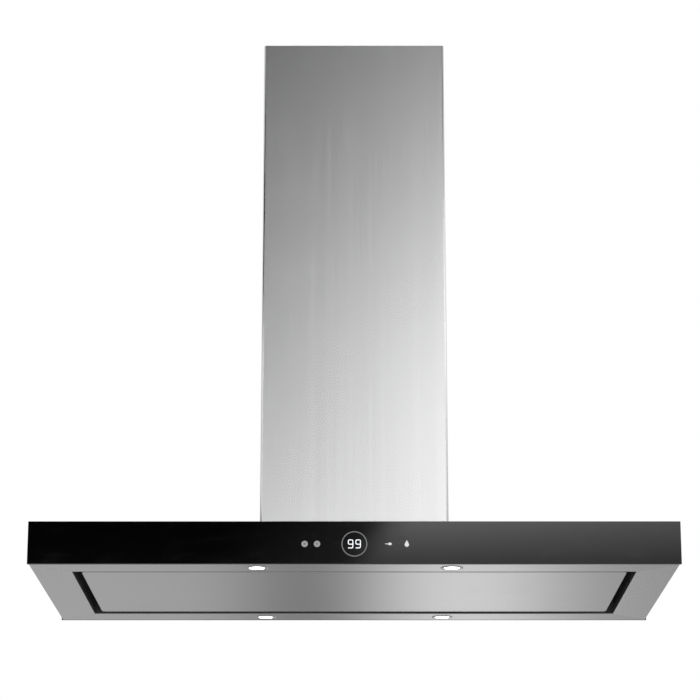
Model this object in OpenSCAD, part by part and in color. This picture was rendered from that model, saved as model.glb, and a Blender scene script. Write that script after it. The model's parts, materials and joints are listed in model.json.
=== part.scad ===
// Island range hood: a low canopy on a telescopic column that hangs from the ceiling.
// Frame: the origin is the middle of the ceiling face, +Z is up and the display faces -Y.

/* [Overall] */
// Width of the canopy
hood_w = 1200; // [1150:10:1400]
// Depth of the canopy
hood_d = 600; // [590:5:700]
// Height of the canopy and of its glass
hood_h = 80; // [80:1:100]
// Ceiling to canopy top with the hood fully raised
ceiling_gap = 1000; // [960:10:1300]
// How far the hood can be set lower on its frame
height_travel = 180; // [100:5:190]

/* [Chimney] */
// Width of the visible lower chimney
chimney_w = 358; // [356:1:370]
// Depth of the visible lower chimney
chimney_d = 318; // [316:1:330]
// Sheet thickness of the lower chimney
chimney_t = 1.2; // [1:0.1:1.2]
// Radius of the chimney's folded corners
chimney_r = 4; // [2:0.5:5]
// Size difference between the lower and the upper chimney
chimney_step = 7; // [7:0.5:8]
// Length of the hidden upper chimney
upper_chimney_l = 560; // [400:10:600]

/* [Underside] */
// Width of the steel margin around the suction opening
margin_w = 75; // [72:1:80]
// Width of the suction slot around the panel
slot_w = 16; // [12:1:18]
// How far the panel sits above the margin
panel_recess = 2; // [1:0.5:3]
// Height of the panel's folded edge
panel_edge_h = 15; // [15:0.5:15.5]

/* [Lamps] */
// Distance of the lamps from the middle, left and right
lamp_x = 180; // [120:5:400]
// Outer radius of a lamp's bezel
lamp_r = 21; // [20:0.5:24]

/* [Blower] */
// Radius of the impeller
impeller_r = 68; // [60:1:70]
// Number of impeller blades
blade_count = 36; // [24:1:44]
// Outer radius of the outlet collar
collar_r = 74.5; // [70:0.5:76]

/* [Fastening] */
// Distance between the anchor holes, left to right
anchor_x = 260; // [240:5:280]
// Distance between the anchor holes, front to rear
anchor_y = 220; // [210:5:240]
// Radius of an anchor hole
anchor_r = 4.5; // [3:0.5:6]

/* [Hidden] */

$fn = 48;
eps = 0.01;

// colours
steel = [0.78, 0.78, 0.77];
zinc = [0.66, 0.68, 0.70];
dark_zinc = [0.45, 0.46, 0.48];
glass_black = [0.03, 0.03, 0.035];
plastic_black = [0.09, 0.09, 0.1];
plastic_grey = [0.55, 0.56, 0.57];
lamp_white = [0.96, 0.97, 1];
aluminium = [0.82, 0.83, 0.84];
board_green = [0.1, 0.3, 0.2];

// levels
z_top = -ceiling_gap;
z_bot = z_top - hood_h;

// chimney sleeves
upper_chimney_w = chimney_w - chimney_step;
upper_chimney_d = chimney_d - chimney_step;
upper_chimney_t = 1;
chimney_top_gap = 1;
flange_half = 12;
lower_flange_t = 1;
upper_flange_t = 0.8;
seam_screw_y = 6;
seam_screw_levels = [0.06, 0.36, 0.66, 0.94];
chimney_screw_r = 1.5;
chimney_head_r = 3.5;
chimney_head_t = 1.4;
top_screw_y = 60;
top_screw_z = -12;

// telescopic frame
rail_t = 2;
lower_leg = 30;
upper_leg = 26;
frame_nest_gap = 0.4;
lower_half_x = upper_chimney_w / 2 - upper_chimney_t - 1.2;
lower_half_y = upper_chimney_d / 2 - upper_chimney_t - 1.2;
upper_half_x = lower_half_x - rail_t - frame_nest_gap;
upper_half_y = lower_half_y - rail_t - frame_nest_gap;
lower_rail_top = -300;
upper_rail_bottom = -680;
belt_h = 30;
clamp_z = lower_rail_top - belt_h / 2;
rail_bolt_y = lower_half_y - lower_leg / 2;
bolt_r = 3;
nut_r = 5.8;
slot_r = 4;
foot_w = 28;
foot_bolt_x = lower_half_x - 18;
foot_bolt_y = lower_half_y - 18;

// ceiling bracket
plate_t = 3;
duct_hole_r = 85;
cable_hole_r = 12;
bracket_flange_h = 30;
bracket_bolt_z = -18;
bracket_half_x = upper_half_x - rail_t;
tab_half = 12;

// canopy
sheet = 1.2;
glass_t = 6;
glass_arris = 0.8;
bond_t = 1;
shell_half_x = hood_w / 2 - 3;
shell_half_y = hood_d / 2 - glass_t - bond_t;
strip_half_y = hood_d / 2 - glass_t - 0.1;
open_half_x = hood_w / 2 - margin_w;
open_half_y = hood_d / 2 - margin_w;
mitre_gap = 0.1;
foot_ring_h = 20;
foot_ring_t = 1.5;

// display
display_z = z_bot + hood_h / 2 - 2.5;
inlay_t = 0.3;
ring_r = 23.7;
ring_line = 2;
digit_w = 10;
digit_h = 18;
digit_pitch = 14;
stroke = 1.8;
dot_r = 6.4;
dot_xs = [-91.3, -68.5];
slider_x = 63.8;
drop_x = 96.3;

// panel
panel_half_x = open_half_x - slot_w;
panel_half_y = open_half_y - slot_w;
panel_z = z_bot + panel_recess;
panel_top = panel_z + panel_edge_h;
hinge_y = panel_half_y - 6;
hinge_z = panel_z + 12;
hinge_x = 400;
hinge_pin_r = 2.5;
hinge_hole_r = 2.56;
ear_r = 5;
ear_t = 3;
notch_w = 24;

// filters
filter_w = 330;
filter_d = 370;
filter_h = 10;
filter_rim = 8;
filter_pitch = filter_w + 6;
frame_z = z_bot + 30;
filter_z = frame_z - filter_h;
hook_y = -filter_d / 2 - 15;
pleats = 24;
mesh_t = 0.7;

// latches
latch_travel = 8;
latch_w = 20;
latch_t = 3;
latch_z = filter_z - 6.2;
latch_front = -filter_d / 2 - 10;
latch_back = latch_front + 25;
latch_gap = 0.3;
pocket_back = latch_back + latch_travel + 5.5;

// lamps
lamp_y = hood_d / 2 - margin_w / 2;
lens_r = 15.5;
lamp_body_r = 17.4;
lamp_hole_r = 18;

// blower
box_half_x = 130;
box_half_y = 140;
box_t = 1;
box_h = 260;
box_top = z_top + box_h;
box_flange = 12;
scroll_half = 60;
scroll_step = 7;
scroll_r = impeller_r + 8;
scroll_y = -(scroll_r + scroll_step * 2 + 4) + 38;
scroll_z = z_top + 95;
outlet_half = 38;
inlet_r = 52;
motor_r = 42;
motor_x0 = 12;
motor_x1 = 98;
shaft_r = 4;
shaft_clearance = 0.05;
blade_inner_r = impeller_r - 11;

// collar and damper
collar_t = 1;
collar_h = 60;
collar_flange_r = 92;
damper_z = box_top + 35;
damper_pin_r = 2;
barrel_hole_r = 2.06;
barrel_r = 3.4;
flap_r = collar_r - collar_t - 2;
flap_t = 1;
flap_inner = 4;

// electrical boxes
gland_x = -112;
gland_z = box_top + 35;
gland_bore_r = 3.5;
harness_r = 3;
harness_z = z_top - 8;

// ---- shared shapes ----

module four_corners() {
    for (mx = [0, 1], my = [0, 1])
        mirror([mx, 0, 0]) mirror([0, my, 0]) children();
}

module both_sides() {
    for (mx = [0, 1])
        mirror([mx, 0, 0]) children();
}

module block(x0, x1, y0, y1, z0, z1) {
    translate([x0, y0, z0]) cube([x1 - x0, y1 - y0, z1 - z0]);
}

module x_rod(r, x0, x1) {
    translate([x0, 0, 0]) rotate([0, 90, 0]) cylinder(r = r, h = x1 - x0);
}

module y_rod(r, y0, y1) {
    translate([0, y1, 0]) rotate([90, 0, 0]) cylinder(r = r, h = y1 - y0);
}

module rounded_rect(w, d, r) {
    square([w - 2 * r, d], center = true);
    square([w, d - 2 * r], center = true);
    for (sx = [-1, 1], sy = [-1, 1])
        translate([sx * (w / 2 - r), sy * (d / 2 - r)]) circle(r = r);
}

// upright rectangular tube with rounded corners
module sleeve(w, d, r, t, z0, z1) {
    translate([0, 0, z0]) linear_extrude(z1 - z0) difference() {
        rounded_rect(w, d, r);
        rounded_rect(w - 2 * t, d - 2 * t, r - t);
    }
}

// front (side = -1) or rear (side = 1) half of a sleeve
module half_sleeve(w, d, r, t, z0, z1, side) {
    intersection() {
        sleeve(w, d, r, t, z0, z1);
        block(-w, w, side < 0 ? -d : 0, side < 0 ? 0 : d, z0 - 1, z1 + 1);
    }
}

// strips inside the seams of a sleeve, which join its two halves
module seam_flanges(w, t, flange_t, z0, z1) {
    both_sides()
        block(w / 2 - t - flange_t, w / 2 - t, -flange_half, flange_half, z0, z1);
}

module belt(half_x, half_y, t, z0, z1) {
    difference() {
        block(-half_x, half_x, -half_y, half_y, z0, z1);
        block(-half_x + t, half_x - t, -half_y + t, half_y - t, z0 - 1, z1 + 1);
    }
}

module corner_rails(half_x, half_y, leg, t, z0, z1) {
    four_corners() difference() {
        block(half_x - leg, half_x, half_y - leg, half_y, z0, z1);
        block(half_x - leg - 1, half_x - t, half_y - leg - 1, half_y - t, z0 - 1, z1 + 1);
    }
}

// ---- ceiling side ----

module anchor_holes() {
    four_corners() translate([anchor_x / 2, anchor_y / 2, -plate_t - 1])
        cylinder(r = anchor_r, h = plate_t + 2);
}

module at_rail_bolts() {
    four_corners() translate([0, rail_bolt_y, bracket_bolt_z]) children();
}

module at_top_screws() {
    four_corners() translate([0, top_screw_y, top_screw_z]) children();
}

module ceiling_bracket() {
    color(zinc) difference() {
        union() {
            block(-upper_half_x, upper_half_x, -upper_half_y, upper_half_y, -plate_t, 0);
            both_sides()
                block(bracket_half_x - rail_t, bracket_half_x, -upper_half_y + rail_t, upper_half_y - rail_t,
                      -bracket_flange_h, -plate_t + eps);
            four_corners() {
                block(upper_half_x - eps, upper_chimney_w / 2 - upper_chimney_t,
                      top_screw_y - tab_half, top_screw_y + tab_half, -plate_t, 0);
                block(upper_chimney_w / 2 - upper_chimney_t - rail_t, upper_chimney_w / 2 - upper_chimney_t,
                      top_screw_y - tab_half, top_screw_y + tab_half, -25, 0);
            }
        }
        translate([0, 0, -plate_t - 1]) cylinder(r = duct_hole_r, h = plate_t + 2, $fn = 96);
        translate([gland_x, 0, -plate_t - 1]) cylinder(r = cable_hole_r, h = plate_t + 2);
        anchor_holes();
        at_rail_bolts() x_rod(bolt_r + 0.2, bracket_half_x - rail_t - 1, bracket_half_x + 1);
        at_top_screws() x_rod(chimney_screw_r + 0.1, upper_half_x, upper_chimney_w / 2);
    }
}

module upper_frame() {
    slot_low = clamp_z - height_travel - 6;
    slot_high = clamp_z + 6;
    color(zinc) difference() {
        union() {
            corner_rails(upper_half_x, upper_half_y, upper_leg, rail_t, upper_rail_bottom, -plate_t);
            belt(upper_half_x, upper_half_y, rail_t, upper_rail_bottom, upper_rail_bottom + belt_h);
        }
        at_rail_bolts() x_rod(bolt_r + 0.2, upper_half_x - rail_t - 1, upper_half_x + 1);
        four_corners() {
            block(upper_half_x - rail_t - 1, upper_half_x + 1, rail_bolt_y - slot_r, rail_bolt_y + slot_r,
                  slot_low, slot_high);
            for (z = [slot_low, slot_high])
                translate([0, rail_bolt_y, z]) x_rod(slot_r, upper_half_x - rail_t - 1, upper_half_x + 1);
        }
    }
}

module upper_rail_bolts() {
    color(dark_zinc) at_rail_bolts() {
        x_rod(bolt_r, bracket_half_x - rail_t - 9, upper_half_x + eps);
        translate([upper_half_x, 0, 0]) rotate([0, 90, 0]) cylinder(r = nut_r, h = 2.4, $fn = 6);
        translate([bracket_half_x - rail_t - 5, 0, 0]) rotate([0, 90, 0]) cylinder(r = nut_r, h = 5, $fn = 6);
    }
}

module upper_chimney_holes() {
    at_top_screws() x_rod(chimney_screw_r + 0.1, upper_half_x, upper_chimney_w);
}

module upper_chimney_front() {
    color(steel) difference() {
        union() {
            half_sleeve(upper_chimney_w, upper_chimney_d, chimney_r, upper_chimney_t,
                        -upper_chimney_l, -chimney_top_gap, -1);
            seam_flanges(upper_chimney_w, upper_chimney_t, upper_flange_t, -upper_chimney_l, -30);
        }
        upper_chimney_holes();
    }
}

module upper_chimney_rear() {
    color(steel) difference() {
        half_sleeve(upper_chimney_w, upper_chimney_d, chimney_r, upper_chimney_t,
                    -upper_chimney_l, -chimney_top_gap, 1);
        upper_chimney_holes();
    }
}

module upper_chimney_screws() {
    color(dark_zinc) at_top_screws() {
        x_rod(chimney_screw_r, upper_chimney_w / 2 - 6, upper_chimney_w / 2 + eps);
        x_rod(chimney_head_r, upper_chimney_w / 2, upper_chimney_w / 2 + 1.2);
    }
}

// ---- lower frame and column ----

module at_clamp_bolts() {
    four_corners() translate([0, rail_bolt_y, clamp_z]) children();
}

module at_foot_bolts() {
    four_corners() translate([foot_bolt_x, foot_bolt_y, z_top]) children();
}

module lower_frame() {
    color(zinc) difference() {
        union() {
            corner_rails(lower_half_x, lower_half_y, lower_leg, rail_t, z_top, lower_rail_top);
            belt(lower_half_x, lower_half_y, rail_t, lower_rail_top - belt_h, lower_rail_top);
            four_corners()
                block(lower_half_x - foot_w, lower_half_x, lower_half_y - foot_w, lower_half_y,
                      z_top, z_top + rail_t);
        }
        at_clamp_bolts() x_rod(bolt_r, lower_half_x - rail_t - 1, lower_half_x + 1);
        at_foot_bolts() translate([0, 0, -1]) cylinder(r = bolt_r + 0.2, h = 4);
    }
}

module height_clamp_bolts() {
    nut_x = upper_half_x - rail_t - 0.3 - 5;
    color(dark_zinc) at_clamp_bolts() {
        x_rod(bolt_r, nut_x - 4, lower_half_x);
        translate([nut_x, 0, 0]) rotate([0, 90, 0]) cylinder(r = nut_r, h = 5, $fn = 6);
    }
}

module frame_foot_bolts() {
    color(dark_zinc) at_foot_bolts() {
        translate([0, 0, -10]) cylinder(r = bolt_r, h = 12 + rail_t);
        translate([0, 0, rail_t]) cylinder(r = nut_r, h = 4, $fn = 6);
        translate([0, 0, -sheet - 5]) cylinder(r = nut_r, h = 5, $fn = 6);
    }
}

module at_seam_screws() {
    both_sides() for (level = seam_screw_levels)
        translate([0, seam_screw_y, -ceiling_gap * level]) children();
}

module at_foot_screws() {
    four_corners() translate([0, top_screw_y, z_top + foot_ring_h / 2]) children();
}

module lower_chimney_holes() {
    at_seam_screws() x_rod(chimney_screw_r + 0.1, chimney_w / 2 - 4, chimney_w / 2 + 1);
    at_foot_screws() x_rod(chimney_screw_r + 0.1, chimney_w / 2 - 4, chimney_w / 2 + 1);
}

module lower_chimney_front() {
    color(steel) difference() {
        union() {
            half_sleeve(chimney_w, chimney_d, chimney_r, chimney_t, z_top, -chimney_top_gap, -1);
            seam_flanges(chimney_w, chimney_t, lower_flange_t, z_top + foot_ring_h + 5, -chimney_top_gap);
        }
        lower_chimney_holes();
    }
}

module lower_chimney_rear() {
    color(steel) difference() {
        half_sleeve(chimney_w, chimney_d, chimney_r, chimney_t, z_top, -chimney_top_gap, 1);
        lower_chimney_holes();
    }
}

module chimney_screw(tip) {
    x_rod(chimney_screw_r, chimney_w / 2 - tip, chimney_w / 2 + eps);
    x_rod(chimney_head_r, chimney_w / 2, chimney_w / 2 + chimney_head_t);
}

module lower_chimney_screws() {
    color(steel) {
        at_seam_screws() chimney_screw(chimney_t + lower_flange_t);
        at_foot_screws() chimney_screw(6);
    }
}

module chimney_foot_ring() {
    inner_x = chimney_w / 2 - chimney_t;
    inner_y = chimney_d / 2 - chimney_t;
    color(zinc) difference() {
        union() {
            sleeve(2 * inner_x, 2 * inner_y, chimney_r - chimney_t, foot_ring_t, z_top, z_top + foot_ring_h);
            both_sides() block(inner_x - 14, inner_x - 1, -110, 110, z_top, z_top + foot_ring_t);
            for (my = [0, 1])
                mirror([0, my, 0]) block(-120, 120, inner_y - 13, inner_y - 1, z_top, z_top + foot_ring_t);
        }
        at_foot_screws() x_rod(chimney_screw_r + 0.1, inner_x - 4, inner_x + 1);
    }
}

// ---- canopy ----

module at_blower_screws() {
    both_sides() for (y = [-100, 0, 100])
        translate([box_half_x + box_flange / 2, y, z_top]) children();
}

module canopy_shell() {
    top_z = z_top - sheet;
    low_z = z_bot + sheet;
    color(steel) difference() {
        block(-shell_half_x, shell_half_x, -shell_half_y, shell_half_y, low_z, z_top);
        block(-shell_half_x + sheet, shell_half_x - sheet, -shell_half_y + sheet, shell_half_y - sheet,
              low_z - 1, top_z);
        block(-box_half_x + 2, box_half_x - 2, -box_half_y + 2, box_half_y - 2, top_z - 1, z_top + 1);
        block(-121, 121, -shell_half_y - 1, -shell_half_y + sheet + 1, display_z - 20, display_z + 20);
        at_foot_bolts() translate([0, 0, -5]) cylinder(r = bolt_r + 0.2, h = 10);
        at_blower_screws() translate([0, 0, -5]) cylinder(r = 2.1, h = 10);
    }
}

// glass plate with a small arris all round its outer face, drawn for the front
module glass_plate() {
    half_w = hood_w / 2;
    y_face = -hood_d / 2;
    intersection() {
        translate([0, 0, z_bot]) linear_extrude(hood_h) polygon([
            [-half_w, y_face + glass_t], [-half_w, y_face + glass_arris], [-half_w + glass_arris, y_face],
            [half_w - glass_arris, y_face], [half_w, y_face + glass_arris], [half_w, y_face + glass_t]
        ]);
        translate([-half_w, 0, 0]) rotate([90, 0, 90]) linear_extrude(hood_w) polygon([
            [y_face + glass_t, z_bot], [y_face + glass_arris, z_bot], [y_face, z_bot + glass_arris],
            [y_face, z_top - glass_arris], [y_face + glass_arris, z_top], [y_face + glass_t, z_top]
        ]);
    }
}

// raises a flat outline, drawn in X and Z around the display's middle, into the glass face
module inlay() {
    translate([0, -hood_d / 2 + inlay_t, display_z]) rotate([90, 0, 0]) linear_extrude(inlay_t) children();
}

module ring_outline() {
    difference() {
        circle(r = ring_r, $fn = 96);
        circle(r = ring_r - ring_line, $fn = 96);
    }
}

// the digit nine as six bars
module nine_outline() {
    half_h = digit_h / 2;
    for (y = [-half_h, -stroke / 2, half_h - stroke])
        translate([0, y]) square([digit_w, stroke]);
    translate([digit_w - stroke, -half_h]) square([stroke, digit_h]);
    translate([0, -stroke / 2]) square([stroke, half_h + stroke / 2]);
}

module digits_outline() {
    for (x = [-digit_pitch / 2, digit_pitch / 2])
        translate([x - digit_w / 2, 0]) nine_outline();
}

module icons_outline() {
    for (x = dot_xs)
        translate([x, 0]) circle(r = dot_r);
    translate([slider_x - 8, -0.6]) square([14, 1.2]);
    translate([slider_x + 5, 0]) circle(r = 2.3);
    translate([drop_x, -1.4]) circle(r = 4.4);
    translate([drop_x, -1.4]) polygon([[-4.2, 1.4], [4.2, 1.4], [0, 8]]);
}

module front_glass() {
    color(glass_black) difference() {
        glass_plate();
        translate([0, -eps, 0]) inlay() {
            ring_outline();
            digits_outline();
            icons_outline();
        }
        inlay() {
            ring_outline();
            digits_outline();
            icons_outline();
        }
    }
}

module rear_glass() {
    color(glass_black) mirror([0, 1, 0]) glass_plate();
}

module glass_bonding_strips() {
    color(plastic_black) for (my = [0, 1], z = [z_bot + 6, z_top - 14])
        mirror([0, my, 0]) block(-580, 580, -shell_half_y - bond_t, -shell_half_y, z, z + 8);
}

module display_ring() {
    color(plastic_grey) inlay() ring_outline();
}

module display_digits() {
    color(lamp_white) inlay() digits_outline();
}

module touch_icons() {
    color(plastic_grey) inlay() icons_outline();
}

// black carrier against the glass, then the board, then its plug
module display_module() {
    y_back = -hood_d / 2 + glass_t;
    color(plastic_black) block(-120, 120, y_back, y_back + 8, display_z - 19, display_z + 19);
    color(board_green) block(-112, 112, y_back + 8, y_back + 9.6, display_z - 17, display_z + 17);
    color(plastic_black) block(60, 84, y_back + 9.6, y_back + 16, display_z - 8, display_z + 8);
}

// margin sheet of the underside with its upright inner wall, drawn for the front
module long_strip() {
    outer_x = shell_half_x - mitre_gap;
    inner_x = open_half_x - mitre_gap;
    difference() {
        union() {
            translate([0, 0, z_bot]) linear_extrude(sheet) polygon([
                [-outer_x, -strip_half_y], [outer_x, -strip_half_y],
                [inner_x, -open_half_y], [-inner_x, -open_half_y]
            ]);
            block(-open_half_x - sheet, open_half_x + sheet, -open_half_y - sheet, -open_half_y,
                  z_bot + sheet, z_top - sheet);
        }
        for (x = [-lamp_x, lamp_x])
            translate([x, -lamp_y, z_bot - 1]) cylinder(r = lamp_hole_r, h = 4);
    }
}

// the same for the left end
module end_strip() {
    outer_y = strip_half_y - mitre_gap;
    inner_y = open_half_y - mitre_gap;
    translate([0, 0, z_bot]) linear_extrude(sheet) polygon([
        [-shell_half_x, -outer_y], [-open_half_x, -inner_y], [-open_half_x, inner_y], [-shell_half_x, outer_y]
    ]);
    block(-open_half_x - sheet, -open_half_x, -open_half_y, open_half_y, z_bot + sheet - eps, z_top - sheet);
}

module underside_front_strip() {
    color(steel) long_strip();
}

module underside_rear_strip() {
    color(steel) mirror([0, 1, 0]) long_strip();
}

module underside_left_strip() {
    color(steel) end_strip();
}

module underside_right_strip() {
    color(steel) mirror([1, 0, 0]) end_strip();
}

// ---- grease filters ----

module at_filters() {
    for (i = [-1, 0, 1])
        translate([i * filter_pitch, 0, 0]) children();
}

module filter_frame() {
    ledge_x = 1.5 * filter_pitch - 4;
    color(zinc) {
        difference() {
            block(-open_half_x, open_half_x, -open_half_y, open_half_y, frame_z, frame_z + sheet);
            at_filters()
                block(-filter_w / 2 + 7, filter_w / 2 - 7, -filter_d / 2 + 7, filter_d / 2 - 7,
                      frame_z - 1, frame_z + 3);
        }
        // ledge that the rear edges of the filters hang on
        block(-ledge_x, ledge_x, filter_d / 2 + 3, filter_d / 2 + 5, filter_z - sheet, frame_z + eps);
        block(-ledge_x, ledge_x, filter_d / 2 - 7, filter_d / 2 + 5, filter_z - sheet, filter_z);
        // hooks that the front latches rest on
        at_filters() {
            block(-20, 20, hook_y, hook_y + 1.6, latch_z - latch_gap - 1.5, frame_z + eps);
            block(-20, 20, hook_y, hook_y + 11, latch_z - latch_gap - 1.5, latch_z - latch_gap);
        }
    }
}

module filter_rim_box(i) {
    color(aluminium) translate([i * filter_pitch, 0, 0]) difference() {
        block(-filter_w / 2, filter_w / 2, -filter_d / 2, filter_d / 2, filter_z, frame_z);
        block(-filter_w / 2 + filter_rim, filter_w / 2 - filter_rim,
              -filter_d / 2 + filter_rim, filter_d / 2 - filter_rim, filter_z - 1, frame_z + 1);
    }
}

module grease_filter_left() {
    filter_rim_box(-1);
}

module grease_filter_center() {
    filter_rim_box(0);
}

module grease_filter_right() {
    filter_rim_box(1);
}

// one pleated sheet per filter
module filter_meshes() {
    half_x = filter_w / 2 - filter_rim;
    half_y = filter_d / 2 - filter_rim;
    pitch = half_x / pleats;
    low = filter_z + 1;
    high = frame_z - 1 - mesh_t;
    ridge = [for (i = [-pleats : pleats]) [i * pitch, i % 2 == 0 ? low : high]];
    back = [for (i = [pleats : -1 : -pleats]) [i * pitch, (i % 2 == 0 ? low : high) + mesh_t]];
    color(aluminium) at_filters()
        translate([0, half_y, 0]) rotate([90, 0, 0]) linear_extrude(2 * half_y) polygon(concat(ridge, back));
}

module latch_housings() {
    front = -filter_d / 2 + 2;
    color(plastic_grey) at_filters() difference() {
        block(-30, 30, front, front + 30, filter_z - 10, filter_z);
        block(-latch_w / 2 - latch_gap, latch_w / 2 + latch_gap, front - 1, pocket_back,
              latch_z - latch_gap, latch_z + latch_t + latch_gap);
        block(-6.5, 6.5, latch_back - 8, latch_back + latch_travel + 2, filter_z - 11, latch_z);
    }
}

module latch_springs() {
    front = latch_back + latch_travel + latch_gap;
    color(dark_zinc) at_filters() translate([0, 0, latch_z + latch_t / 2]) difference() {
        y_rod(1.5, front, pocket_back);
        y_rod(1.1, front - 1, pocket_back + 1);
    }
}

module filter_latch(i) {
    color(plastic_black) translate([i * filter_pitch, 0, 0]) {
        block(-latch_w / 2, latch_w / 2, latch_front, latch_back, latch_z, latch_z + latch_t);
        block(-5.5, 5.5, latch_back - 6, latch_back, latch_z - 7, latch_z + eps);
    }
}

module filter_latch_left() {
    filter_latch(-1);
}

module filter_latch_center() {
    filter_latch(0);
}

module filter_latch_right() {
    filter_latch(1);
}

// ---- perimeter panel and its hinges ----

module at_hinges() {
    for (x = [-hinge_x, hinge_x])
        translate([x, hinge_y, hinge_z]) children();
}

// round eye with a straight arm that reaches z_end above or below it
module eye_plate(x0, x1, hole_r, z_end) {
    difference() {
        union() {
            x_rod(ear_r, x0, x1);
            block(x0, x1, -ear_r, ear_r, min(0, z_end), max(0, z_end));
        }
        x_rod(hole_r, x0 - 1, x1 + 1);
    }
}

module perimeter_panel() {
    color(steel) {
        difference() {
            block(-panel_half_x, panel_half_x, -panel_half_y, panel_half_y, panel_z, panel_top);
            block(-panel_half_x + sheet, panel_half_x - sheet, -panel_half_y + sheet, panel_half_y - sheet,
                  panel_z + sheet, panel_top + 1);
            for (x = [-hinge_x, hinge_x])
                block(x - notch_w / 2, x + notch_w / 2, panel_half_y - 3, panel_half_y + 1,
                      panel_z + sheet, panel_top + 1);
        }
        at_hinges() eye_plate(-ear_t / 2, ear_t / 2, hinge_hole_r, panel_z + sheet - hinge_z - eps);
        // two hat ribs stiffen the sheet
        for (y = [-100, 100]) difference() {
            block(-panel_half_x + 40, panel_half_x - 40, y - 15, y + 15, panel_z + sheet - eps, panel_z + 9);
            block(-panel_half_x + 39, panel_half_x - 39, y - 14, y + 14, panel_z, panel_z + 8);
        }
    }
}

module panel_strikes() {
    front = -panel_half_y + sheet;
    color(dark_zinc) for (x = [-hinge_x, hinge_x]) {
        block(x - 12, x + 12, front, front + 17, panel_top - 1.2, panel_top);
        block(x - 12, x + 12, front + 15.8, front + 17, panel_z + sheet, panel_top);
    }
}

module panel_hinge_brackets() {
    color(zinc) at_hinges() {
        for (x = [-6, 4])
            eye_plate(x, x + 2, hinge_pin_r, frame_z - hinge_z);
        block(-12, 12, -ear_r, open_half_y - hinge_y, frame_z - hinge_z - 1.5, frame_z - hinge_z);
    }
}

module panel_hinge_pins() {
    color(dark_zinc) at_hinges() {
        x_rod(hinge_pin_r, -7, 7);
        x_rod(3.5, -7.5, -6);
        x_rod(3.5, 6, 7.5);
    }
}

module magnet_catches() {
    color(plastic_black) for (x = [-hinge_x, hinge_x])
        block(x - 15, x + 15, -panel_half_y - 6, -panel_half_y + 8, panel_top + 0.5, frame_z);
}

// ---- lamps ----

module at_lamps() {
    four_corners() translate([lamp_x, lamp_y, z_bot]) children();
}

module lamp_bezels() {
    color(steel) at_lamps() rotate_extrude() polygon([
        [lens_r + 0.1, 0], [lamp_r, 0], [lamp_r - 0.8, -1.2], [lens_r + 1, -1.2], [lens_r + 0.1, -0.4]
    ]);
}

module lamp_lenses() {
    color(lamp_white) at_lamps() translate([0, 0, -0.4]) cylinder(r = lens_r, h = 3.4);
}

module lamp_housings() {
    color(aluminium) at_lamps() difference() {
        union() {
            cylinder(r = lamp_body_r, h = 12);
            for (z = [15, 20, 25])
                translate([0, 0, z]) cylinder(r = lamp_body_r, h = 2.5);
            cylinder(r = 12, h = 30);
        }
        translate([0, 0, -1]) cylinder(r = lens_r, h = 4);
    }
}

module lamp_clips() {
    r = lamp_body_r;
    color(dark_zinc) at_lamps() both_sides()
        translate([0, 4, 0]) rotate([90, 0, 0]) linear_extrude(8) polygon([
            [r, 12], [r, 8.5], [r + 6, sheet], [r + 7, sheet], [r + 1, 9], [r + 1, 12]
        ]);
}

// ---- electrical parts ----

module control_box() {
    color(plastic_grey) difference() {
        block(-490, -350, -60, 60, z_top - sheet - 32, z_top - sheet);
        block(-488, -352, -58, 58, z_top - sheet - 30, z_top - sheet - 2);
    }
    color(board_green) block(-484, -356, -54, 54, z_top - sheet - 26, z_top - sheet - 24);
    color(board_green) block(-425, -415, -4, 4, z_top - sheet - 30 - eps, z_top - sheet - 26 + eps);
}

module led_driver() {
    color(plastic_grey) block(340, 450, -28, 28, z_top - sheet - 24, z_top - sheet);
    color(plastic_grey) for (x = [334, 450])
        block(x, x + 6, -12, 12, z_top - sheet - 4, z_top - sheet);
}

module motor_capacitor() {
    color(aluminium) translate([-310, -60, z_top - sheet - 17]) x_rod(17, 0, 62);
    color(plastic_black) translate([-310, -60, z_top - sheet - 17]) x_rod(6, -8, 0.01);
}

module terminal_box() {
    color(plastic_black) difference() {
        block(gland_x - 16, gland_x + 16, -50, 50, box_top, gland_z);
        block(gland_x - 14, gland_x + 14, -48, 48, box_top + 2, gland_z - 2);
        translate([gland_x, 0, gland_z - 3]) cylinder(r = 6, h = 4);
    }
}

module cable_gland() {
    color(plastic_grey) translate([gland_x, 0, gland_z]) difference() {
        union() {
            translate([0, 0, -6]) cylinder(r = 6, h = 7);
            cylinder(r = 9, h = 5, $fn = 6);
            translate([0, 0, 5]) cylinder(r = 8, h = 9);
        }
        translate([0, 0, -7]) cylinder(r = gland_bore_r, h = 22);
    }
}

// a cable from one point to the next, with round corners
module cable(points, r) {
    for (i = [0 : len(points) - 2]) {
        run = points[i + 1] - points[i];
        reach = norm(run);
        turn = [0, acos(run[2] / reach), atan2(run[1], run[0])];
        translate(points[i]) rotate(turn) cylinder(r = r, h = reach, $fn = 24);
        if (i > 0)
            translate(points[i]) sphere(r = r, $fn = 24);
    }
}

module wiring_harness() {
    back_y = box_half_y + 12;
    color(plastic_black) {
        cable([[-420, 60, harness_z], [-420, back_y, harness_z],
               [395, back_y, harness_z], [395, 28, harness_z]], harness_r);
        cable([[116, back_y, harness_z], [116, scroll_y, harness_z], [116, scroll_y, scroll_z],
               [motor_x1, scroll_y, scroll_z]], 2.5);
    }
}

// ---- blower ----

module blower_box() {
    color(zinc) difference() {
        union() {
            block(-box_half_x, box_half_x, -box_half_y, box_half_y, z_top, box_top);
            block(-box_half_x - box_flange, box_half_x + box_flange, -box_half_y, box_half_y,
                  z_top, z_top + box_t);
        }
        block(-box_half_x + box_t, box_half_x - box_t, -box_half_y + box_t, box_half_y - box_t,
              z_top - 1, box_top - box_t);
        translate([0, 0, box_top - 2]) cylinder(r = collar_r - collar_t, h = 4, $fn = 96);
        at_blower_screws() translate([0, 0, -1]) cylinder(r = 2.1, h = 4);
    }
}

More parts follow.
